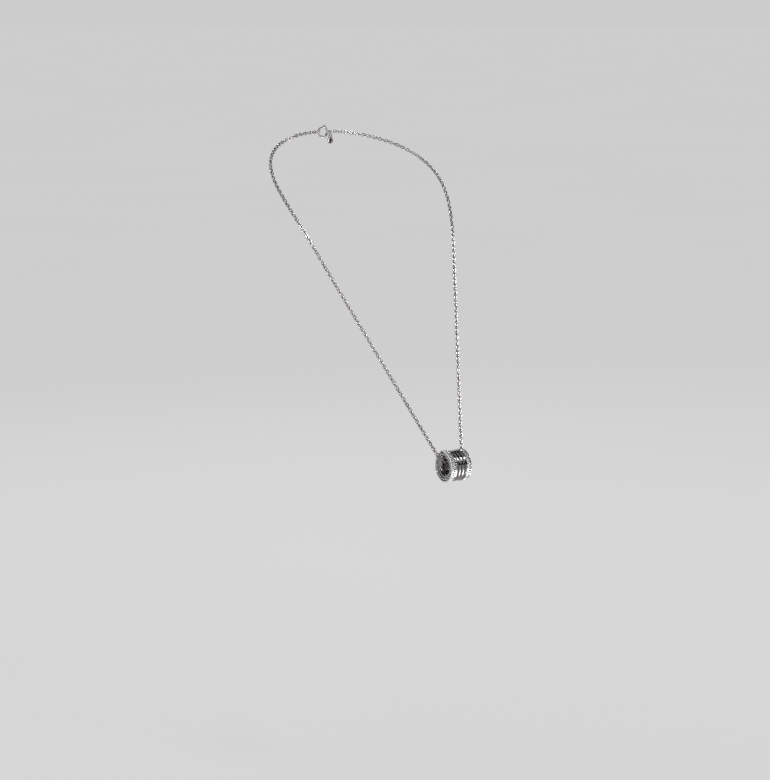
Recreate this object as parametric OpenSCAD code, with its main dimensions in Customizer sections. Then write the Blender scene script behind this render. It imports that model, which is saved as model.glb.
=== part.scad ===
// Pendant necklace: a fine cable chain through a ring-shaped pendant with
// stone-set rims and a spiral waist, closed at the nape by a spring ring clasp.
// Millimetres. The origin is the middle of the nape, +Z is up, and the wearer
// faces -Y. The pendant's axis lies along X.

/* [Necklace] */
// Height of the nape above the pendant's axis
drop = 144.5; // [138:0.5:150]
// How far the nape lies behind the pendant's axis
reach = 113.5; // [108:0.5:118]
// Widest part of the loop round the neck
neck_w = 90; // [86:1:96]

/* [Chain] */
// Thickness of the round wire of each link
wire_d = 0.5; // [0.44:0.02:0.5]
// Outside width of a link
link_w = 1.8; // [1.76:0.02:1.86]
// Wanted distance from one link to the next
link_pitch = 1.46; // [1.44:0.01:1.5]
// Play between two linked wires
link_play = 0.05; // [0.04:0.01:0.06]

/* [Pendant] */
// Radius of the bore that the chain runs through
bore_r = 3.1; // [3.1:0.05:3.2]
// Outside radius over the rims
pendant_r = 7.3; // [7.2:0.05:7.6]
// Length from rim to rim
pendant_l = 10.5; // [10.3:0.1:10.7]
// Width of each stone-set rim
rim_w = 2.4; // [2.3:0.05:2.5]
// Stones in each of the two rows of a rim
row_stones = 42; // [36:1:42]
// Width of the spiral's band
band_w = 1.62; // [1.4:0.02:1.7]
// Advance of the spiral in one turn
band_pitch = 1.83; // [1.8:0.01:2]

/* [Clasp] */
// Radius of the spring ring at the middle of its tube
clasp_r = 2.4; // [2.3:0.05:2.5]
// Radius of the spring ring's tube
tube_r = 0.6; // [0.58:0.01:0.62]
// How far the bolt is drawn back to open the clasp, in degrees
bolt_travel = 46; // [30:1:46]

/* [Hidden] */
$fn = 48;
silver = "#dcdee2";
shade = "#85888f";
clear_stone = "#f2f6fb";

// Links carried by each hinged band of the strands, as the highest link number
run_top = 4;
band_tops = [23, 41, 59, 77];
side_top = 112;

// Chain route, from the middle of the bore to the nape, about the pendant's centre
stretch = [neck_w / 90, reach / 113.5, drop / 144.5];
nape = [0, reach, drop];
collar = [for (p = [[33.7, 50, 81.8], [40.4, 62, 101.5], [44.3, 73, 115.2], [44.6, 83.5, 125],
    [40.2, 94.6, 133.2], [30.2, 104.6, 139.4], [15.8, 111.4, 143.2], [0, 113.5, 144.5],
    [-15.8, 111.4, 143.2]]) [p[0] * stretch[0], p[1] * stretch[1], p[2] * stretch[2]]];
bore_play = 0.12;
run_h = bore_r - link_w / 2 - bore_play;
foot_x = pendant_l / 2 + 0.2;
bend_r = 3.2;
collar_h = norm([collar[0][1], collar[0][2]]);
v_up = [0, collar[0][1], collar[0][2]] / collar_h;
lean = atan2(collar_h - run_h, collar[0][0] - foot_x);
bend_x = foot_x - bend_r * tan(lean / 2);
strand = [cos(lean), sin(lean) * v_up[1], sin(lean) * v_up[2]];

function on_v(x, h) = [x, 0, 0] + h * v_up;
function blend(p, t) = ((2 * p[1]) + (p[2] - p[0]) * t + (2 * p[0] - 5 * p[1] + 4 * p[2] - p[3]) * t * t
    + (3 * p[1] - p[0] - 3 * p[2] + p[3]) * t * t * t) / 2;

knots = concat([collar[0] - 25 * strand], collar);
route = concat(
    [on_v(0, run_h)],
    [for (a = [0 : 6 : lean]) on_v(bend_x + bend_r * sin(a), run_h + bend_r * (1 - cos(a)))],
    [on_v(bend_x + bend_r * sin(lean), run_h + bend_r * (1 - cos(lean)))],
    [for (i = [0 : len(knots) - 4]) for (t = [0 : 0.1 : 0.9]) blend([for (k = [0 : 3]) knots[i + k]], t)],
    [nape]);
last = len(route) - 1;
along = [for (i = 0, s = 0; i <= last; s = s + norm(route[min(i + 1, last)] - route[i]), i = i + 1) s];
table = [for (k = [0 : 2]) [for (i = [0 : last]) [along[i], route[i][k] - nape[k]]]];
function at(s) = [for (k = [0 : 2]) lookup(s, table[k])];

// Link 0 lies in the bore and the rest are counted up each side, to the clasp
clasp_gap = 5.05;
chain_end = along[last] - clasp_gap;
links = 2 * round((chain_end / link_pitch - 0.5) / 2);
pitch = chain_end / (links + 0.5);
link_l = pitch + 2 * wire_d + link_play;
function unit(v) = v / norm(v);
function facing(s) = let (q = pow(s / chain_end, 2)) unit((1 - q) * cross([1, 0, 0], v_up) - q * [0, 1, 0]);

// Pendant, about its own centre
centre = -nape;
rim_x = pendant_l / 2;
waist_x = rim_x - rim_w;
face_x = rim_x - 0.35;
core_r = 4.95;
lip_r = 1.6;
lip_x = 3.1;
seat_r = core_r + 0.05;
face_r = pendant_r - 0.8;
bevel = 0.08;
edge_w = 0.2;
channel_d = 0.65;
barrel_wall = 1.2;
barrel_play = 0.03;
band_edge_r = pendant_r - 0.5;
band_foot_r = core_r + 1.3;
band_dome = 0.3;
band_tip = 0.2;
stone_d = 0.96;
stone_h = 0.54;
girdle = [0.34, 0.39];
stone_table_r = 0.29;
row_gap = 0.94;
stone_sink = 0.58;
motifs = 24;
motif_r = (seat_r + face_r) / 2;
motif_h = 0.16;
motif_x = face_x + 0.01;
bar_w = 0.36;
bar_l = 1.1;
eyelet_r = 0.36;
eyelet_hole_r = 0.18;

// Clasp, about the middle of the spring ring
clasp_x = 0.95;
clasp_at = at(chain_end) + [-clasp_x - at(chain_end)[0], 0, 0];
channel_r = tube_r - 0.18;
eye_r = 0.6;
eye_x = clasp_r + tube_r + eye_r - 0.05;
eye_wire = 0.22;
ring_wire = 0.3;
joint_wire = 0.25;
ring_in = -clasp_r + tube_r + ring_wire + link_play;
ring_out = clasp_x - clasp_gap + (wire_d + link_play) / 2 - wire_d / 2 - ring_wire - link_play;
joint_in = eye_x + eye_r - eye_wire - joint_wire - link_play;
joint_out = clasp_x + clasp_gap - (wire_d + link_play) / 2 + wire_d / 2 + joint_wire + link_play;
joint_x = (joint_in + joint_out) / 2;
joint_r = (joint_out - joint_in) / 2;
gap_from = 100;
gap_to = 140;
bolt_from = 62;
bolt_to = 146;
bolt_play = 0.04;
lever_at = 70;
lever_r = 0.19;
lever_h = 0.55;
knob_r = 0.36;
knob_neck_r = 0.24;
knob_z = 0.5;
slot_w = 0.54;
coil_r = 0.27;
coil_wire = 0.06;
tag_wire = 0.2;
tag_r = 0.9;
tag_z = joint_wire + tag_wire + link_play - tag_r;
tag_t = 0.4;
tag_l = 2.9;
tag_foot_r = 1.6;
hole_r = 0.45;
hole_wall = 0.35;
hole_z = tag_z - tag_r - (hole_r - tag_wire - link_play);

// Points local X along x_dir and local Z along z_dir, at p
module place(p, x_dir, z_dir) {
    x = unit(x_dir);
    z = unit(z_dir - (z_dir * x) * x);
    y = cross(z, x);
    multmatrix([[x[0], y[0], z[0], p[0]], [x[1], y[1], z[1], p[1]], [x[2], y[2], z[2], p[2]]]) children();
}

module ring(r, wire_r) {
    rotate_extrude() translate([r, 0]) circle(wire_r);
}

// One oval link along X, flat in the XY plane
module link() {
    bow_r = (link_w - wire_d) / 2;
    straight = link_l - link_w;
    for (m = [0, 1]) mirror([m, 0, 0]) translate([straight / 2, 0, 0])
        rotate([0, 0, -90]) rotate_extrude(angle = 180) translate([bow_r, 0]) circle(d = wire_d);
    for (m = [0, 1]) mirror([0, m, 0]) translate([-straight / 2, bow_r, 0])
        rotate([0, 90, 0]) cylinder(d = wire_d, h = straight);
}

// Links from number a to number b, on the wearer's left for side 1 and right for side -1.
// Neighbours turn about the middle of an even link's rounded end, so those points lie on the route.
module chain(a, b, side) {
    color(silver) mirror([side < 0 ? 1 : 0, 0, 0]) for (i = [a : b]) {
        even = i % 2 == 0;
        s = i * pitch;
        half = even ? (link_l - link_w) / 2 : pitch - (link_l - link_w) / 2;
        back = i == 0 ? at(half) - [2 * at(half)[0], 0, 0] : at(s - half);
        t = at(s + half) - back;
        place((at(s + half) + back) / 2, t, even ? facing(s) : cross(t, facing(s))) link();
    }
}

module chain_run() {
    chain(0, run_top, 1);
    chain(1, run_top, -1);
}
module strand_4_left() { chain(run_top + 1, band_tops[0], 1); }
module strand_4_right() { chain(run_top + 1, band_tops[0], -1); }
module strand_3_left() { chain(band_tops[0] + 1, band_tops[1], 1); }
module strand_3_right() { chain(band_tops[0] + 1, band_tops[1], -1); }
module strand_2_left() { chain(band_tops[1] + 1, band_tops[2], 1); }
module strand_2_right() { chain(band_tops[1] + 1, band_tops[2], -1); }
module strand_1_left() { chain(band_tops[2] + 1, band_tops[3], 1); }
module strand_1_right() { chain(band_tops[2] + 1, band_tops[3], -1); }
module chain_side_left() { chain(band_tops[3] + 1, side_top, 1); }
module chain_side_right() { chain(band_tops[3] + 1, side_top, -1); }
module chain_nape_left() { chain(side_top + 1, links, 1); }
module chain_nape_right() { chain(side_top + 1, links, -1); }

// Turns its child's XY profile about the pendant's axis: profile X is the radius, Y the axis
module turned(side = 1) {
    translate(centre) mirror([side < 0 ? 1 : 0, 0, 0]) rotate([0, 90, 0]) rotate_extrude($fn = 96) children();
}

module pendant_core() {
    color(silver) turned() difference() {
        translate([bore_r, -lip_x - lip_r]) square([core_r - bore_r, 2 * (lip_x + lip_r)]);
        for (m = [0, 1]) mirror([0, m]) translate([bore_r, lip_x]) difference() {
            translate([-1, 0]) square([lip_r + 1, lip_r + 1]);
            translate([lip_r, 0]) circle(lip_r);
        }
    }
}

module pendant_barrel() {
    color(shade) turned() translate([seat_r, -waist_x + barrel_play])
        square([barrel_wall, 2 * (waist_x - barrel_play)]);
}

// A domed band wound round the barrel, trimmed flat against both rims
module pendant_spiral() {
    limit = waist_x - 2 * barrel_play;
    first = ceil((band_tip / band_pitch) * 36);
    steps = floor(((2 * limit + band_w - band_tip) / band_pitch) * 36);
    function mid(i) = -limit - band_w / 2 + band_pitch * i / 36;
    function section(i) = let (c = mid(i), lo = max(-limit, c - band_w / 2),
        hi = min(limit, c + band_w / 2)) concat(
        [[lo, band_foot_r]],
        [for (k = [0 : 6]) let (x = lo + (hi - lo) * k / 6, u = 2 * (x - c) / band_w)
            [x, band_edge_r + band_dome * (1 - u * u)]],
        [[hi, band_foot_r]]);
    sections = [for (i = [first : steps]) section(i)];
    sides = len(sections[0]);
    points = [for (i = [0 : len(sections) - 1]) for (q = sections[i])
        [q[0], q[1] * cos(i * 10), q[1] * sin(i * 10)]];
    walls = [for (i = [0 : len(sections) - 2]) for (k = [0 : sides - 1])
        let (a = i * sides + k, b = i * sides + (k + 1) % sides)
        each [[a, b, b + sides], [a, b + sides, a + sides]]];
    caps = [[for (k = [sides - 1 : -1 : 0]) k], [for (k = [0 : sides - 1]) len(points) - sides + k]];
    color(silver) translate(centre) polyhedron(points, concat(walls, caps));
}

// End ring: a flat face inside a raised edge, and a channel for the stones round the outside
module pendant_rim(side) {
    color(silver) turned(side) polygon([
        [seat_r, waist_x], [pendant_r - bevel, waist_x], [pendant_r, waist_x + bevel],
        [pendant_r, waist_x + edge_w], [pendant_r - channel_d, waist_x + edge_w],
        [pendant_r - channel_d, rim_x - edge_w], [pendant_r, rim_x - edge_w],
        [pendant_r, rim_x - bevel], [pendant_r - bevel, rim_x],
        [face_r + 0.1, rim_x], [face_r, face_x], [seat_r, face_x]]);
}
module pendant_rim_left() { pendant_rim(1); }
module pendant_rim_right() { pendant_rim(-1); }

// A round brilliant: table up, culet at the origin
module stone() {
    rotate_extrude($fn = 24) polygon([[0, 0], [stone_d / 2, girdle[0]], [stone_d / 2, girdle[1]],
        [stone_table_r, stone_h], [0, stone_h]]);
}

module rim_stones(side) {
    color(clear_stone) translate(centre) mirror([side < 0 ? 1 : 0, 0, 0])
        for (row = [0, 1]) for (i = [0 : row_stones - 1])
            rotate([(i + row / 2) * 360 / row_stones, 0, 0])
                translate([rim_x - rim_w / 2 + (row - 0.5) * row_gap, 0, pendant_r - stone_sink]) stone();
}
module rim_stones_left() { rim_stones(1); }
module rim_stones_right() { rim_stones(-1); }

// Raised radial bars with a small ring between each two, all round the flat face
module face_pattern(side) {
    color(silver) translate(centre) mirror([side < 0 ? 1 : 0, 0, 0]) for (i = [0 : motifs - 1]) {
        rotate([i * 360 / motifs, 0, 0]) translate([motif_x, -bar_w / 2, motif_r - bar_l / 2])
            cube([motif_h, bar_w, bar_l]);
        rotate([(i + 0.5) * 360 / motifs, 0, 0]) translate([motif_x, 0, motif_r]) rotate([0, 90, 0])
            difference() {
                cylinder(r = eyelet_r, h = motif_h, $fn = 24);
                translate([0, 0, -1]) cylinder(r = eyelet_hole_r, h = 2, $fn = 24);
            }
    }
}
module face_pattern_left() { face_pattern(1); }
module face_pattern_right() { face_pattern(-1); }

// The clasp is drawn in the XY plane and stood up so that its angles run from +X towards +Z
module clasp_frame() {
    translate(clasp_at) rotate([90, 0, 0]) children();
}
module arc(from, to, r) {
    rotate([0, 0, from]) rotate_extrude(angle = to - from) translate([clasp_r, 0]) circle(r);
}
module arc_slot(from, to, inner, outer, width) {
    rotate([0, 0, from]) rotate_extrude(angle = to - from)
        translate([inner, -width / 2]) square([outer - inner, width]);
}

module clasp_ring() {
    color(silver) clasp_frame() difference() {
        union() {
            ring(clasp_r, tube_r);
            translate([eye_x, 0, 0]) ring(eye_r, eye_wire);
        }
        arc(10, 158, channel_r);
        arc_slot(gap_from, gap_to, clasp_r - 1, clasp_r + 1, 2);
        arc_slot(lever_at - bolt_travel - 6, lever_at + 6, clasp_r + 0.2, clasp_r + 1, slot_w);
    }
}

module clasp_spring() {
    color(shade) clasp_frame() for (a = [13 : 6 : 55])
        rotate([0, 0, a]) translate([clasp_r, 0, 0]) rotate([90, 0, 0]) ring(coil_r, coil_wire, $fn = 24);
}

module clasp_bolt() {
    color(silver) clasp_frame() arc(bolt_from, bolt_to, channel_r - bolt_play);
}

// Thumb lever that stands out of the slot, on the bolt
module clasp_lever() {
    color(silver) clasp_frame() rotate([0, 0, lever_at]) translate([clasp_r + channel_r - 0.02, 0, 0])
        rotate([0, 90, 0]) {
            cylinder(r = lever_r, h = lever_h, $fn = 24);
            translate([0, 0, knob_z]) cylinder(r1 = knob_neck_r, r2 = knob_r, h = 0.2, $fn = 24);
            translate([0, 0, knob_z + 0.2]) cylinder(r = knob_r, h = 0.16, $fn = 24);
        }
}

// The closed ring that the clasp hooks, on the right-hand end of the chain
module end_ring() {
    color(silver) translate(clasp_at + [(ring_in + ring_out) / 2, 0, 0])
        ring((ring_in - ring_out) / 2, ring_wire);
}

// The ring that joins the clasp's eye to the left-hand end of the chain
module joint_ring() {
    color(silver) translate(clasp_at + [joint_x, 0, 0]) ring(joint_r, joint_wire);
}

module tag_ring() {
    color(silver) translate(clasp_at + [joint_x, joint_r, tag_z]) rotate([0, 90, 0]) ring(tag_r, tag_wire);
}

// Plain teardrop tag with a hole at its top
module tag_plate() {
    color(silver) translate(clasp_at + [joint_x, joint_r + tag_t / 2, hole_z]) rotate([90, 0, 0])
        difference() {
            linear_extrude(tag_t) hull() {
                circle(hole_r + hole_wall);
                translate([0, -tag_l]) circle(tag_foot_r);
            }
            translate([0, 0, -1]) cylinder(r = hole_r, h = 3);
        }
}

chain_run();
strand_4_left();
strand_4_right();
strand_3_left();
strand_3_right();
strand_2_left();
strand_2_right();
strand_1_left();
strand_1_right();
chain_side_left();
chain_side_right();
chain_nape_left();
chain_nape_right();
pendant_core();
pendant_barrel();
pendant_spiral();
pendant_rim_left();
pendant_rim_right();
rim_stones_left();
rim_stones_right();
face_pattern_left();
face_pattern_right();
clasp_ring();
clasp_spring();
clasp_bolt();
clasp_lever();
end_ring();
joint_ring();
tag_ring();
tag_plate();
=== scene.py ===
"""Looks of the pendant necklace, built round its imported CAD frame.

The chain and the clasp keep their CAD meshes. The pendant, its stones and the
tag are rebuilt here as finer meshes that stand for their CAD nodes. Everything
is in metres.
"""

import math

import bmesh
import bpy
from mathutils import Matrix, Vector

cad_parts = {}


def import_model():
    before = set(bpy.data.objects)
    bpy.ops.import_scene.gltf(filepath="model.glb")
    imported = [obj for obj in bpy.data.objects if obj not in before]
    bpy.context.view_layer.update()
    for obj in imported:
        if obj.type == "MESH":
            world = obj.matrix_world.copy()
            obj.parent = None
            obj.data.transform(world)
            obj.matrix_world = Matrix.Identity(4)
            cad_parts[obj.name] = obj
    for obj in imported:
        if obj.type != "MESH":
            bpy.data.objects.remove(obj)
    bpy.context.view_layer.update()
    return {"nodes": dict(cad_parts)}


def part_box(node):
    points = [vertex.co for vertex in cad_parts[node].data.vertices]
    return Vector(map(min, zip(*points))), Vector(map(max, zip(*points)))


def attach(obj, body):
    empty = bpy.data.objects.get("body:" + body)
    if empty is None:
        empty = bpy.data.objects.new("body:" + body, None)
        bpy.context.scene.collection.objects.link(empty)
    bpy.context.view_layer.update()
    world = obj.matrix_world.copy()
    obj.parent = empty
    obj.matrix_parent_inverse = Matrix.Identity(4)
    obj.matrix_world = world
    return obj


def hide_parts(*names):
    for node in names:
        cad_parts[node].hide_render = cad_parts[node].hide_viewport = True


MM = 0.001
HANDS = {"left": 1, "right": -1}

# Pendant details that the frame's boxes don't tell
LATHE_STEPS = 192
BORE_R = 3.1 * MM
LIP_X = 3.1 * MM
BARREL_WALL = 1.2 * MM
RAISED_EDGE = 0.7 * MM
FACE_DEPTH = 0.35 * MM
CHANNEL_LIP = 0.2 * MM
CHANNEL_DEPTH = 0.64 * MM
EDGE_ROLL = 0.07 * MM
SEAM = 0.05 * MM
ROW_STONES = 42
STONE_SIZE = 0.96 * MM
STONE_HEIGHT = 0.54 * MM
STONE_SINK = 0.58 * MM
BEAD_R = 0.13 * MM
BEAD_SINK = 0.22 * MM
BAND_PITCH = 1.83 * MM
BAND_WIDTH = 1.62 * MM
BAND_TIP = 0.2 * MM
BAND_DOME = 0.26 * MM
BAND_ROLL = 0.24 * MM
BAND_GROOVE = 0.07 * MM
MOTIFS = 24
BAR_HALF_WIDTH = 0.18 * MM
BAR_HALF_LENGTH = 0.55 * MM
EYE_R = 0.27 * MM
EYE_WIRE = 0.085 * MM
STONE_PITCH = 2 * math.pi / ROW_STONES

# Tag details
TAG_NECK = 0.8 * MM
TAG_HOLE = 0.45 * MM
TAG_ROLL = 0.13 * MM
TAG_RELIEF = 0.06 * MM

# Photograph's viewpoint: it looks down from the wearer's right
AZIMUTH = -32.0
PITCH = 10.5
DISTANCE = 0.904
LENS = 92.3
PENDANT_RIGHT = 0.034
PENDANT_DOWN = 0.03775
FLOOR_DROP = 0.158

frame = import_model()


# ---------------------------------------------------------------- mesh helpers


def mesh_object(name, bm, smooth=True):
    """Turns a bmesh into a linked object with clean, outward normals."""
    bmesh.ops.recalc_face_normals(bm, faces=bm.faces)
    for face in bm.faces:
        face.smooth = smooth
    mesh = bpy.data.meshes.new(name)
    bm.to_mesh(mesh)
    bm.free()
    if smooth:
        mesh.set_sharp_from_angle(angle=math.radians(50))
    obj = bpy.data.objects.new(name, mesh)
    bpy.context.scene.collection.objects.link(obj)
    return obj


def skin(bm, rows):
    """Joins each row of vertices to the next with a band of quads."""
    count = len(rows[0])
    for row, following in zip(rows, rows[1:]):
        for k in range(count):
            n = (k + 1) % count
            bm.faces.new((row[k], row[n], following[n], following[k]))


def loft(bm, rings, closed_path=False):
    """Skins a list of rings of points, and caps the ends of an open path."""
    rows = [[bm.verts.new(p) for p in ring] for ring in rings]
    skin(bm, rows + rows[:1] if closed_path else rows)
    if not closed_path:
        bm.faces.new(rows[0])
        bm.faces.new(rows[-1])


def on_axis(x, radius, angle):
    """A point at a distance along the pendant's axis, a radius and an angle round it."""
    return CENTRE + Vector((x, radius * math.cos(angle), radius * math.sin(angle)))


def rounded(profile, radius, steps=3):
    """Rounds each corner of a closed (x, radius) outline by up to that radius."""
    out = []
    for i, corner in enumerate(profile):
        corner = Vector(corner)
        inward = Vector(profile[i - 1]) - corner
        onward = Vector(profile[(i + 1) % len(profile)]) - corner
        cut = min(radius, inward.length * 0.45, onward.length * 0.45)
        start, end = corner + inward.normalized() * cut, corner + onward.normalized() * cut
        for k in range(steps + 1):
            t = k / steps
            out.append(start * (1 - t) ** 2 + corner * 2 * t * (1 - t) + end * t * t)
    return out


def lathe(name, profile):
    """Turns a closed (x, radius) outline about the pendant's axis."""
    bm = bmesh.new()
    turn = 2 * math.pi / LATHE_STEPS
    rings = [[on_axis(x, r, i * turn) for x, r in profile] for i in range(LATHE_STEPS)]
    loft(bm, rings, closed_path=True)
    return mesh_object(name, bm)


def torus(bm, centre, normal, radius, wire, turns=24, sides=10):
    """A ring of round wire."""
    out = normal.orthogonal().normalized()
    side = normal.cross(out)
    rings = []
    for a in (2 * math.pi * i / turns for i in range(turns)):
        radial = out * math.cos(a) + side * math.sin(a)
        hub = centre + radial * radius
        rings.append([
            hub + (radial * math.cos(b) + normal * math.sin(b)) * wire
            for b in (2 * math.pi * k / sides for k in range(sides))
        ])
    loft(bm, rings, closed_path=True)


def dome(bm, centre, axis, radius, height, levels=5, sides=10):
    """A small bead: a dome with its skirt sunk a little below its seat."""
    quat = axis.to_track_quat("Z", "Y")
    rings = []
    for level in range(levels):
        a = math.pi / 2 * level / levels
        r, z = radius * math.cos(a), height * math.sin(a)
        rings.append([centre + quat @ Vector((r * math.cos(t), r * math.sin(t), z))
                      for t in (2 * math.pi * k / sides for k in range(sides))])
    rings.insert(0, [p - axis * height * 0.3 for p in rings[0]])
    rows = [[bm.verts.new(p) for p in ring] for ring in rings]
    skin(bm, rows)
    tip = bm.verts.new(centre + axis * height)
    for k in range(sides):
        bm.faces.new((rows[-1][k], rows[-1][(k + 1) % sides], tip))
    bm.faces.new(reversed(rows[0]))


# ------------------------------------------------------------------- materials


def new_material(name):
    material = bpy.data.materials.new(name)
    material.use_nodes = True
    nodes, links = material.node_tree.nodes, material.node_tree.links
    return material, nodes, links, nodes["Principled BSDF"]


def noise(nodes, links, coords, scale, detail, stretch=(1, 1, 1)):
    """A noise texture in object space, stretched along chosen axes."""
    mapping = nodes.new("ShaderNodeMapping")
    mapping.inputs["Scale"].default_value = stretch
    links.new(coords.outputs["Object"], mapping.inputs["Vector"])
    texture = nodes.new("ShaderNodeTexNoise")
    texture.inputs["Scale"].default_value = scale
    texture.inputs["Detail"].default_value = detail
    links.new(mapping.outputs["Vector"], texture.inputs["Vector"])
    return texture.outputs["Fac"]


def ramp(nodes, links, factor, low, high, start=0.35, end=0.65):
    """Maps a factor to a range of colours or greys."""
    node = nodes.new("ShaderNodeValToRGB")
    for element, place, value in zip(node.color_ramp.elements, (start, end), (low, high)):
        element.position = place
        element.color = (*value, 1) if isinstance(value, tuple) else (value, value, value, 1)
    links.new(factor, node.inputs["Fac"])
    return node.outputs["Color"]


def metal(name, colour, smooth, rough, grain, stretch=(1, 1, 1), depth=1.0):
    """Polished metal with faint tarnish, smudges in the roughness and fine lines in the bump."""
    material, nodes, links, shader = new_material(name)
    coords = nodes.new("ShaderNodeTexCoord")
    shader.inputs["Metallic"].default_value = 1.0
    tarnish = tuple(channel * 0.88 for channel in colour)
    smudge = noise(nodes, links, coords, grain, 5)
    links.new(ramp(nodes, links, smudge, tarnish, colour, 0.3, 0.6), shader.inputs["Base Color"])
    wear = noise(nodes, links, coords, grain * 2.3, 4, stretch)
    links.new(ramp(nodes, links, wear, smooth, rough), shader.inputs["Roughness"])
    bump = nodes.new("ShaderNodeBump")
    bump.inputs["Strength"].default_value = 0.6
    bump.inputs["Distance"].default_value = depth * MM / 1000
    links.new(noise(nodes, links, coords, grain * 7, 3, stretch), bump.inputs["Height"])
    links.new(bump.outputs["Normal"], shader.inputs["Normal"])
    return material


def brilliant_glass(name):
    """Clear faceted stone, each a touch brighter than the next, with a little dust."""
    material, nodes, links, shader = new_material(name)
    geometry = nodes.new("ShaderNodeNewGeometry")
    island = geometry.outputs["Random Per Island"]
    tint = ramp(nodes, links, island, (0.90, 0.91, 0.94), (1.0, 1.0, 0.99), 0, 1)
    links.new(tint, shader.inputs["Base Color"])
    coords = nodes.new("ShaderNodeTexCoord")
    dust = ramp(nodes, links, noise(nodes, links, coords, 9000, 2), 0.0, 0.06, 0.5, 0.8)
    links.new(dust, shader.inputs["Roughness"])
    shader.inputs["Metallic"].default_value = 0.4
    shader.inputs["Transmission Weight"].default_value = 0.6
    shader.inputs["IOR"].default_value = 2.4
    return material


TURNED = (1, 0.04, 0.04)  # lines left by turning about the pendant's axis
# The chain's colour is darker than its silver: painted dark reflection, standing for dim
# surroundings the links would mirror.
CHAIN_PAINTED_DARK = metal("chain_painted_dark", (0.52, 0.49, 0.485), 0.05, 0.12, 3200)
# The spiral band's colour is far darker than its white metal: painted dark reflection, so the
# band reads dark between its highlights.
BAND_PAINTED_DARK = metal("band_painted_dark", (0.30, 0.29, 0.29), 0.04, 0.11, 1400, TURNED)
# The sleeve's colour is far darker than its white metal: painted shade, so the bore reads as a
# dark hole.
CORE_PAINTED_SHADE = metal("core_painted_shade", (0.28, 0.27, 0.27), 0.04, 0.10, 1200, TURNED)
# The end rings' colour is darker than the same metal in the raised motif: painted shade, so the
# flat faces read darker than the motif.
RIM_PAINTED_SHADE = metal("rim_painted_shade", (0.68, 0.66, 0.66), 0.07, 0.16, 1700, TURNED)
MOTIF_METAL = metal("motif_metal", (0.95, 0.93, 0.93), 0.09, 0.18, 2600)
# recess_painted_shade is near-black: painted shade for the barrel under the spiral and the
# grounds of the faces and stone seats.
RECESS_PAINTED_SHADE = metal("recess_painted_shade", (0.06, 0.06, 0.065), 0.30, 0.46, 2400, (1, 1, 1), 4.0)
CLASP = metal("clasp_metal", (0.56, 0.53, 0.525), 0.07, 0.17, 2400)
TAG_METAL = metal("tag_metal", (0.56, 0.53, 0.525), 0.09, 0.20, 1500, (1, 1, 0.08))
SPRING = metal("spring_metal", (0.60, 0.61, 0.63), 0.20, 0.34, 5000)
STONE = brilliant_glass("stone_glass")


def finish_piece(obj, material, body, slot, *nodes):
    """Gives a new piece its material and its body, and lets it stand for its CAD nodes."""
    obj.data.materials.clear()
    obj.data.materials.append(material)
    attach(obj, body)
    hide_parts(*nodes)


def keep_node(node, material):
    """A CAD node whose shape is already right only gets the better material."""
    obj = frame["nodes"][node]
    for slot in obj.material_slots:
        slot.material = material


# ----------------------------------------------------------------------- chain

for node in frame["nodes"]:
    if node.startswith(("chain_", "strand_")):
        keep_node(node, CHAIN_PAINTED_DARK)


# --------------------------------------------------------------------- pendant

core_low, core_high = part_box("pendant_core")
CENTRE = (core_low + core_high) / 2
core_r = (core_high.z - core_low.z) / 2
core_x = core_high.x
rim_low, rim_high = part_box("pendant_rim_left")
RIM_R = (rim_high.z - rim_low.z) / 2
RIM_X = rim_high.x
WAIST_X = rim_low.x
BED_R = core_r + SEAM + BARREL_WALL
EDGE_R = RIM_R - 0.5 * MM
FACE_X = RIM_X - FACE_DEPTH
FACE_IN = core_r + SEAM
FACE_OUT = RIM_R - RAISED_EDGE - 0.1 * MM
BED_FLOOR = RIM_R - CHANNEL_DEPTH


def core_profile():
    """The sleeve's outline, with lips that roll out from the bore."""
    lip = core_x - LIP_X
    curl = [(LIP_X + lip * math.sin(a), BORE_R + lip * (1 - math.cos(a)))
            for a in (math.radians(t) for t in range(0, 91, 9))]
    return [(-x, r) for x, r in reversed(curl)] + curl + [(core_x, core_r), (-core_x, core_r)]


def rim_profile(side):
    """An end ring's outline: flat face, rolled edge and a seat for two rows of stones."""
    inner, outer = WAIST_X + CHANNEL_LIP, RIM_X - CHANNEL_LIP
    outline = [
        (WAIST_X, FACE_IN), (WAIST_X, RIM_R), (inner, RIM_R), (inner, BED_FLOOR),
        (outer, BED_FLOOR), (outer, RIM_R), (RIM_X, RIM_R), (RIM_X, RIM_R - RAISED_EDGE),
        (FACE_X, FACE_OUT), (FACE_X, FACE_IN),
    ]
    return [(side * x, r) for x, r in rounded(outline, EDGE_ROLL)]


def painted_shade_lining(name, side, x_from, x_to, r_from, r_to):
    """A thin dark skin on the bottom of a recess: painted shade where the recess would fall dark.
    """
    corners = [(x_from, r_from), (x_from, r_to), (x_to, r_to), (x_to, r_from)]
    return lathe(f"{name}_{side}", rounded(corners, 0.01 * MM, 1))


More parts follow.
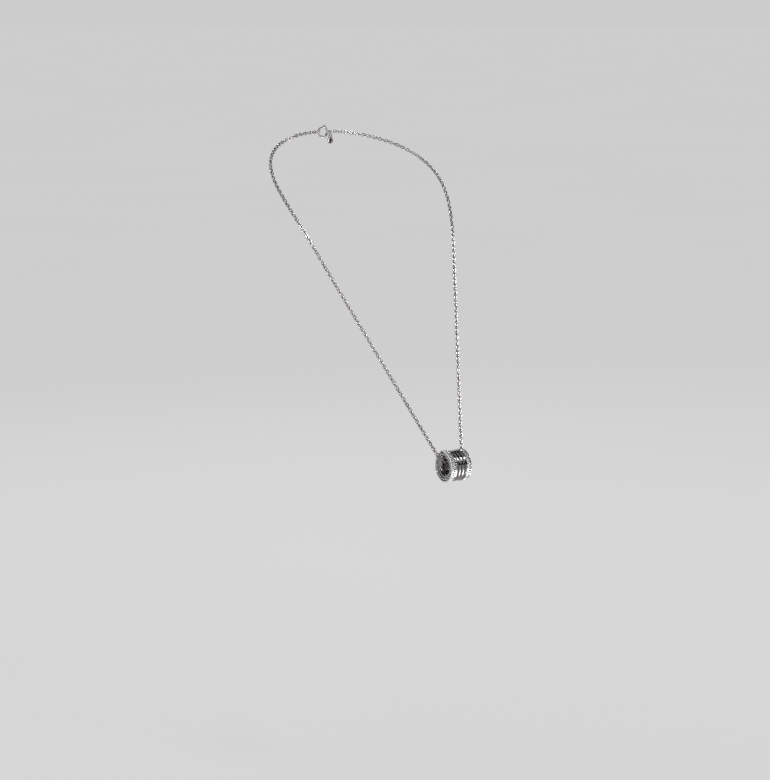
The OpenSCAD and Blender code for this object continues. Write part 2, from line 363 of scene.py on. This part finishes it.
def spiral(name):
    """A domed band with rolled edges and a fine groove inside each, wound round the barrel."""
    limit = WAIST_X - 0.06 * MM
    travel = 2 * limit + BAND_WIDTH
    first = BAND_TIP / BAND_PITCH * 2 * math.pi
    last = (travel - BAND_TIP) / BAND_PITCH * 2 * math.pi
    count = int((last - first) / math.radians(3))
    across = 28

    def height(u):
        """Radius of the band's skin at u, from -1 to 1 across it."""
        edge = max(0.0, (abs(u) - 0.86) / 0.14)
        groove = math.exp(-((abs(u) - 0.72) / 0.035) ** 2)
        return EDGE_R + BAND_DOME * (1 - u * u) - BAND_ROLL * edge ** 2.2 - BAND_GROOVE * groove

    bm = bmesh.new()
    rings = []
    for i in range(count + 1):
        a = first + (last - first) * i / count
        mid = -limit - BAND_WIDTH / 2 + BAND_PITCH * a / (2 * math.pi)
        low, high = max(-limit, mid - BAND_WIDTH / 2), min(limit, mid + BAND_WIDTH / 2)
        xs = [low + (high - low) * k / across for k in range(across + 1)]
        ring = [on_axis(low, BED_R, a)]
        ring += [on_axis(x, height(2 * (x - mid) / BAND_WIDTH), a) for x in xs]
        ring.append(on_axis(high, BED_R, a))
        rings.append(ring)
    loft(bm, rings)
    return mesh_object(name, bm)


def stone_cut(bm, seat, along, across, out):
    """One round brilliant on its culet: table, star, kite, girdle and pavilion facets."""
    def ring(radius, level, count, turn):
        angles = (2 * math.pi * (k + turn) / count for k in range(count))
        return [bm.verts.new(seat + out * level
                             + (along * math.cos(t) + across * math.sin(t)) * radius)
                for t in angles]

    half, height = STONE_SIZE / 2, STONE_HEIGHT
    girdle_z = height * 0.64
    table = ring(half * 0.57, height, 8, 0.5)
    crown = ring(half * 0.79, girdle_z + (height - girdle_z) * 0.62, 8, 0)
    upper = ring(half, girdle_z + height * 0.035, 16, 0)
    lower = ring(half, girdle_z - height * 0.035, 16, 0)
    mains = ring(half * 0.3, girdle_z * 0.32, 8, 0)
    culet = bm.verts.new(seat)
    bm.faces.new(table)
    for k in range(8):
        n = (k + 1) % 8
        bm.faces.new((crown[k], crown[n], table[k]))
        bm.faces.new((table[k], crown[n], table[n]))
        bm.faces.new((upper[2 * k], upper[2 * k + 1], crown[k]))
        bm.faces.new((upper[2 * k + 1], crown[n], crown[k]))
        bm.faces.new((upper[2 * k + 1], upper[2 * n], crown[n]))
        bm.faces.new((lower[2 * k], mains[k], lower[2 * k + 1]))
        bm.faces.new((lower[2 * k + 1], mains[k], mains[n]))
        bm.faces.new((lower[2 * k + 1], mains[n], lower[2 * n]))
        bm.faces.new((mains[k], culet, mains[n]))
    for k in range(16):
        n = (k + 1) % 16
        bm.faces.new((lower[k], lower[n], upper[n], upper[k]))


def stone_rows(side):
    """Where the stones of an end ring sit: (x, angle) of every stone, row by row."""
    low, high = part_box("rim_stones_" + side)
    mid, offset = (low.x + high.x) / 2, (high.x - low.x - STONE_SIZE) / 2
    return [[(mid + HANDS[side] * (row * 2 - 1) * offset, (i + row / 2) * STONE_PITCH)
             for i in range(ROW_STONES)] for row in (0, 1)]


def frame_at(angle):
    """Directions outward and round the pendant where a stone stands; angle 0 is straight up."""
    out = Vector((0, -math.sin(angle), math.cos(angle)))
    return out, Vector((0, -math.cos(angle), -math.sin(angle)))


def on_rim(x, out, radius):
    """A point on the pendant at x and a radius, in the direction out."""
    return Vector((x, CENTRE.y, CENTRE.z)) + out * radius


def rim_stones(side):
    """Two rows of brilliants set in the channel of an end ring."""
    bm = bmesh.new()
    for x, angle in (spot for row in stone_rows(side) for spot in row):
        out, across = frame_at(angle)
        stone_cut(bm, on_rim(x, out, RIM_R - STONE_SINK), Vector((1, 0, 0)), across, out)
    return mesh_object(f"stones_{side}", bm, smooth=False)


def rim_beads(side):
    """Grains of metal that grip the stones: along both edges and between the rows."""
    bm = bmesh.new()
    for row, spots in zip((-1, 1), stone_rows(side)):
        edge = HANDS[side] * row * STONE_SIZE * 0.44
        for x, angle in spots:
            out, _ = frame_at(angle + STONE_PITCH / 2)
            for shift in (edge, -edge * 0.86):
                dome(bm, on_rim(x + shift, out, RIM_R - BEAD_SINK), out, BEAD_R, BEAD_R)
    return mesh_object(f"beads_{side}", bm)


def bar_outline(hub, out, across, rise, shrink):
    """A rounded bar's outline at a height above the face, taken in towards its top."""
    ring = []
    for t in (2 * math.pi * k / 20 for k in range(20)):
        wide = abs(math.cos(t)) ** 0.6 * math.copysign(BAR_HALF_WIDTH, math.cos(t))
        tall = abs(math.sin(t)) ** 0.6 * math.copysign(BAR_HALF_LENGTH, math.sin(t))
        inset = (1 - shrink) * BAR_HALF_WIDTH
        tall -= math.copysign(min(inset, abs(tall)), tall)
        ring.append(hub + across * wide * shrink + out * tall + Vector((rise, 0, 0)))
    return ring


def face_motif(side):
    """Generic running pattern on the flat face: a raised radial bar, a small ring, and so on."""
    low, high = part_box("face_pattern_" + side)
    base = low.x if side == "left" else high.x
    lift = (high.x - low.x) * HANDS[side]
    radius = (FACE_IN + FACE_OUT) / 2
    bm = bmesh.new()
    for i in range(MOTIFS):
        angle = 2 * math.pi * i / MOTIFS
        out, across = frame_at(angle)
        hub = on_rim(base, out, radius)
        loft(bm, [bar_outline(hub, out, across, lift * level, shrink)
                  for level, shrink in ((0, 1.0), (0.65, 1.0), (1.0, 0.62))])
        out, across = frame_at(angle + math.pi / MOTIFS)
        eye = on_rim(base + lift * 0.45, out, radius)
        torus(bm, eye, Vector((HANDS[side], 0, 0)), EYE_R, EYE_WIRE)
    return mesh_object(f"face_motif_{side}", bm)


def pendant_detail(obj, material):
    """A piece of the pendant that stands for no CAD node of its own."""
    obj.data.materials.append(material)
    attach(obj, "pendant")


def barrel_profile():
    """The drum's outline, clear of the sleeve inside it and of both rims."""
    end, inner, outer = WAIST_X - 0.03 * MM, FACE_IN, BED_R - SEAM
    return rounded([(-end, inner), (-end, outer), (end, outer), (end, inner)], 0.05 * MM)


finish_piece(lathe("core_sleeve", core_profile()), CORE_PAINTED_SHADE, "pendant",
             "pendant_silver", "pendant_core")
# The drum shows between the spiral's turns in a near-black colour: painted shade in the grooves.
finish_piece(lathe("barrel_drum", barrel_profile()), RECESS_PAINTED_SHADE, "pendant",
             "dark_recess", "pendant_barrel")
finish_piece(spiral("spiral_band"), BAND_PAINTED_DARK, "pendant", "pendant_silver", "pendant_spiral")
for side, hand in HANDS.items():
    finish_piece(lathe(f"end_ring_{side}", rim_profile(hand)), RIM_PAINTED_SHADE, "pendant",
                 "pendant_silver", "pendant_rim_" + side)
    finish_piece(rim_stones(side), STONE, "pendant", "clear_stone", "rim_stones_" + side)
    finish_piece(face_motif(side), MOTIF_METAL, "pendant",
                 "pendant_silver", "face_pattern_" + side)
    pendant_detail(rim_beads(side), RIM_PAINTED_SHADE)
    # Dark skins on the stone seats and the face grounds: painted shade in those recesses.
    inner, outer = WAIST_X + CHANNEL_LIP + 0.01 * MM, RIM_X - CHANNEL_LIP - 0.01 * MM
    pendant_detail(painted_shade_lining("stone_bed", side, hand * inner, hand * outer,
                          BED_FLOOR - 0.01 * MM, BED_FLOOR + 0.03 * MM), RECESS_PAINTED_SHADE)
    inner, outer = FACE_X - 0.01 * MM, FACE_X + 0.03 * MM
    pendant_detail(painted_shade_lining("face_ground", side, hand * inner, hand * outer,
                          FACE_IN + 0.04 * MM, FACE_OUT - 0.06 * MM), RECESS_PAINTED_SHADE)


# ----------------------------------------------------------------------- clasp


def tag_plate():
    """A teardrop tag with rolled edges, a raised border and a collar round its hole."""
    low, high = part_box("tag_plate")
    wide, half = (high.x - low.x) / 2, (high.y - low.y) / 2
    hub = Vector(((low.x + high.x) / 2, (low.y + high.y) / 2, high.z - TAG_NECK))
    drop = hub.z - low.z - wide
    turns = [2 * math.pi * k / 96 for k in range(96)]

    def teardrop(inset, y):
        """The outline taken in by inset: the outer edge of circles that grow towards the foot."""
        ring = []
        for t in turns:
            reach = 0.0
            for k in range(41):
                part = k / 40
                depth, r = -drop * part, TAG_NECK + (wide - TAG_NECK) * part - inset
                along = depth * math.sin(t)
                apart = depth * depth - along * along
                if apart <= r * r:
                    reach = max(reach, along + math.sqrt(r * r - apart))
            ring.append(hub + Vector((reach * math.cos(t), y, reach * math.sin(t))))
        return ring

    def round_hole(grow, y):
        r = TAG_HOLE + grow
        return [hub + Vector((r * math.cos(t), y, r * math.sin(t))) for t in turns]

    def face(sign):
        """Rings from the plate's edge over its border and sunk field to the hole's collar."""
        level, sunk = sign * half, sign * (half - TAG_RELIEF)
        rolled = [teardrop(TAG_ROLL * (1 - math.cos(a)),
                           sign * (half - TAG_ROLL * (1 - math.sin(a))))
                  for a in (math.radians(15 * k) for k in range(7))]
        return rolled + [
            teardrop(0.32 * MM, level), teardrop(0.38 * MM, sunk), round_hole(0.17 * MM, sunk),
            round_hole(0.13 * MM, level), round_hole(0.04 * MM, level), round_hole(0, sunk)]

    bm = bmesh.new()
    loft(bm, face(-1) + face(1)[::-1], closed_path=True)
    return mesh_object("tag_teardrop", bm)


for node in ("clasp_ring", "clasp_bolt", "clasp_lever", "end_ring", "joint_ring", "tag_ring"):
    keep_node(node, CLASP)
keep_node("clasp_spring", SPRING)
finish_piece(tag_plate(), TAG_METAL, "tag", "tag_silver", "tag_plate")


# ----------------------------------------------------------- floor, light, camera


def floor():
    """A plain pale floor that glows a little, so that it stays even."""
    bm = bmesh.new()
    size, z = 60.0, CENTRE.z - FLOOR_DROP
    corners = ((-1, -1), (1, -1), (1, 1), (-1, 1))
    bm.faces.new([bm.verts.new((x * size, y * size, z)) for x, y in corners])
    obj = mesh_object("floor", bm)
    material, nodes, links, shader = new_material("floor_paper")
    coords = nodes.new("ShaderNodeTexCoord")
    cloud = noise(nodes, links, coords, 2.0, 3)
    tone = ramp(nodes, links, cloud, (0.20, 0.20, 0.203), (0.21, 0.21, 0.21))
    links.new(tone, shader.inputs["Base Color"])
    shader.inputs["Roughness"].default_value = 0.9
    shader.inputs["Specular IOR Level"].default_value = 0.0
    shader.inputs["Emission Color"].default_value = (0.99, 0.99, 1.0, 1)
    shader.inputs["Emission Strength"].default_value = 0.52
    obj.data.materials.append(material)


def world():
    """Pale where it is seen, and in reflections a dim studio with dark and bright bands."""
    scene_world = bpy.data.worlds.new("studio")
    bpy.context.scene.world = scene_world
    scene_world.use_nodes = True
    nodes, links = scene_world.node_tree.nodes, scene_world.node_tree.links
    coords = nodes.new("ShaderNodeTexCoord")
    split = nodes.new("ShaderNodeSeparateXYZ")
    links.new(coords.outputs["Generated"], split.inputs[0])
    node = nodes.new("ShaderNodeValToRGB")
    stops = ((0.0, 0.60), (0.05, 0.58), (0.14, 0.08), (0.55, 0.02), (0.86, 0.06), (1.0, 0.9))
    for place, _ in stops[1:-1]:
        node.color_ramp.elements.new(place)
    for element, (_, grey) in zip(node.color_ramp.elements, stops):
        element.color = (grey, grey, grey * 1.01, 1)
    links.new(split.outputs["Z"], node.inputs["Fac"])
    links.new(node.outputs["Color"], nodes["Background"].inputs["Color"])
    backdrop = nodes.new("ShaderNodeBackground")
    backdrop.inputs["Color"].default_value = (0.605, 0.605, 0.612, 1)
    mix = nodes.new("ShaderNodeMixShader")
    links.new(nodes.new("ShaderNodeLightPath").outputs["Is Camera Ray"], mix.inputs[0])
    links.new(nodes["Background"].outputs[0], mix.inputs[1])
    links.new(backdrop.outputs[0], mix.inputs[2])
    links.new(mix.outputs[0], nodes["World Output"].inputs["Surface"])


def softbox(name, place, size, brightness, facing, along=(0, 0, 1)):
    """A rectangular light of even brightness; size[0] runs along the given direction."""
    light = bpy.data.lights.new(name, "AREA")
    light.shape = "RECTANGLE"
    light.size, light.size_y = size
    light.energy = brightness * math.pi * size[0] * size[1]
    away = -Vector(facing).normalized()
    across = away.cross(Vector(along)).normalized()
    obj = bpy.data.objects.new(name, light)
    obj.rotation_euler = Matrix((across.cross(away), across, away)).transposed().to_euler()
    obj.location = place
    obj.visible_camera = False
    bpy.context.scene.collection.objects.link(obj)


def camera():
    """The photograph's view, with the pendant where it sits in the photograph's frame."""
    azimuth, pitch = math.radians(AZIMUTH), math.radians(PITCH)
    forward = Vector((-math.sin(azimuth) * math.cos(pitch),
                      math.cos(azimuth) * math.cos(pitch), -math.sin(pitch)))
    right = Vector((math.cos(azimuth), math.sin(azimuth), 0))
    down = forward.cross(right)
    sight = (forward + right * PENDANT_RIGHT + down * PENDANT_DOWN).normalized()
    data = bpy.data.cameras.new("camera")
    data.sensor_width = 36
    data.lens = LENS
    data.clip_start, data.clip_end = 0.01, 100
    obj = bpy.data.objects.new("camera", data)
    obj.location = CENTRE - sight * DISTANCE
    obj.rotation_euler = (math.pi / 2 - pitch, 0, azimuth)
    bpy.context.scene.collection.objects.link(obj)
    bpy.context.scene.camera = obj


def sun(name, azimuth, elevation, strength, spread):
    """A distant round softbox, named by where it stands."""
    light = bpy.data.lights.new(name, "SUN")
    light.energy = strength
    light.angle = math.radians(spread)
    obj = bpy.data.objects.new(name, light)
    a, e = math.radians(azimuth), math.radians(elevation)
    towards = Vector((math.sin(a) * math.cos(e), -math.cos(a) * math.cos(e), math.sin(e)))
    obj.rotation_euler = towards.to_track_quat("Z", "Y").to_euler()
    bpy.context.scene.collection.objects.link(obj)


floor()
world()
bpy.context.scene.view_settings.view_transform = "Standard"
bpy.context.scene.cycles.use_denoising = False
sun("key", 25, 52, 1.3, 12)
for name, offset, size, brightness in (
        ("left", (-0.80, -0.25, 0.40), (0.70, 0.14), 5.2),
        ("right", (0.85, -0.15, 0.30), (0.70, 0.12), 6.0),
        ("back", (0.20, 0.80, 0.45), (0.20, 0.90), 3.2),
        ("front", (-0.10, -0.75, 0.65), (0.04, 0.60), 7.0)):
    softbox(name, CENTRE + Vector(offset), size, brightness, -Vector(offset))
for name, spot, size, brightness in (
        ("near_card", (0.18, -0.19), (0.34, 0.16), 4.8),
        ("far_card", (-0.50, 0.80), (0.90, 0.45), 0.45)):
    offset = Vector((*spot, 0.01 - FLOOR_DROP))
    softbox(name, CENTRE + offset, size, brightness, (0, 0, 1), (*spot, 0))
camera()
